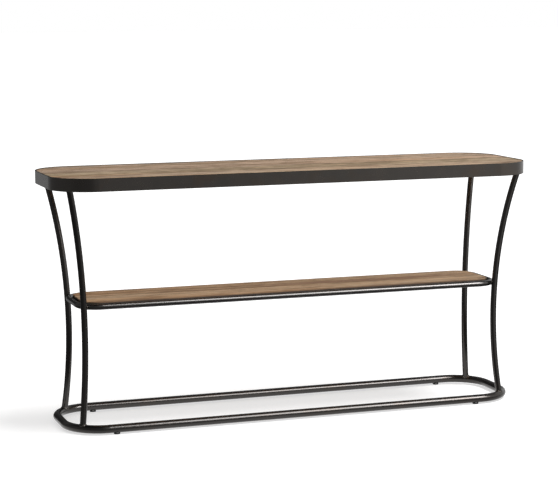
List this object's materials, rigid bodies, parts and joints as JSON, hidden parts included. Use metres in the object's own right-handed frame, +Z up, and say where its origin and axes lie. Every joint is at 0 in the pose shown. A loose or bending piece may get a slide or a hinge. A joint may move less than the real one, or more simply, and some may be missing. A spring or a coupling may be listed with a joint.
{
  "type": "console table",
  "caption": "Long narrow console table with a plank top in a steel rim, a lower plank shelf, bowed tube legs and a tube base ring on levelling feet.",
  "frame": {"origin": "on the floor under the middle of the table", "axes": "+X along the table's length, +Y to its back, +Z up"},
  "size_m": [1.512, 0.42, 0.762],
  "materials": {
    "top_wood": "matt greyed tan hardwood with lengthwise light and dark streaks and small knots",
    "shelf_wood": "matt warm brown hardwood with lengthwise streaks",
    "dark_steel": "darkened steel under clear lacquer, with a faint brown patina",
    "plated_steel": "plain zinc-plated steel",
    "foot_plastic": "matt black moulded plastic"
  },
  "bodies": {
    "frame": {"back_left_corner_plate": "dark_steel", "back_left_leg": "dark_steel", "back_right_corner_plate": "dark_steel", "back_right_leg": "dark_steel", "base_ring": "dark_steel", "foot_bushes": "dark_steel", "front_left_corner_plate": "dark_steel", "front_left_leg": "dark_steel", "front_right_corner_plate": "dark_steel", "front_right_leg": "dark_steel", "shelf_board_1": "shelf_wood", "shelf_board_2": "shelf_wood", "shelf_ring": "dark_steel", "shelf_screws": "plated_steel", "shelf_strap_1": "dark_steel", "shelf_strap_2": "dark_steel", "shelf_strap_3": "dark_steel", "top_bar_1": "dark_steel", "top_bar_2": "dark_steel", "top_bar_3": "dark_steel", "top_board_1": "top_wood", "top_board_2": "top_wood", "top_board_3": "top_wood", "top_board_4": "top_wood", "top_rim": "dark_steel", "top_screws": "plated_steel"},
    "front_left_pad": {"front_left_foot_pad": "foot_plastic"},
    "front_left_stud": {"front_left_foot_stud": "plated_steel"},
    "front_right_pad": {"front_right_foot_pad": "foot_plastic"},
    "front_right_stud": {"front_right_foot_stud": "plated_steel"},
    "back_left_pad": {"back_left_foot_pad": "foot_plastic"},
    "back_left_stud": {"back_left_foot_stud": "plated_steel"},
    "back_right_pad": {"back_right_foot_pad": "foot_plastic"},
    "back_right_stud": {"back_right_foot_stud": "plated_steel"}
  },
  "joints": [
    {"name": "front_left_foot_height", "type": "slide", "parent": "frame", "child": "front_left_pad", "axis": [0, 0, -1], "range_m": [0, 0.0075]},
    {"name": "front_left_foot_screw", "type": "hinge", "parent": "front_left_pad", "child": "front_left_stud", "pos_m": [-0.58, -0.1545, 0], "axis": [0, 0, -1], "range_deg": [0, 2160]},
    {"name": "front_right_foot_height", "type": "slide", "parent": "frame", "child": "front_right_pad", "axis": [0, 0, -1], "range_m": [0, 0.0075]},
    {"name": "front_right_foot_screw", "type": "hinge", "parent": "front_right_pad", "child": "front_right_stud", "pos_m": [0.58, -0.1545, 0], "axis": [0, 0, -1], "range_deg": [0, 2160]},
    {"name": "back_left_foot_height", "type": "slide", "parent": "frame", "child": "back_left_pad", "axis": [0, 0, -1], "range_m": [0, 0.0075]},
    {"name": "back_left_foot_screw", "type": "hinge", "parent": "back_left_pad", "child": "back_left_stud", "pos_m": [-0.58, 0.1545, 0], "axis": [0, 0, -1], "range_deg": [0, 2160]},
    {"name": "back_right_foot_height", "type": "slide", "parent": "frame", "child": "back_right_pad", "axis": [0, 0, -1], "range_m": [0, 0.0075]},
    {"name": "back_right_foot_screw", "type": "hinge", "parent": "back_right_pad", "child": "back_right_stud", "pos_m": [0.58, 0.1545, 0], "axis": [0, 0, -1], "range_deg": [0, 2160]}
  ],
  "couplings": [
    {"joint": "front_left_foot_screw", "follows": "front_left_foot_height", "rad_per_m": 5026.5},
    {"joint": "front_right_foot_screw", "follows": "front_right_foot_height", "rad_per_m": 5026.5},
    {"joint": "back_left_foot_screw", "follows": "back_left_foot_height", "rad_per_m": 5026.5},
    {"joint": "back_right_foot_screw", "follows": "back_right_foot_height", "rad_per_m": 5026.5}
  ]
}
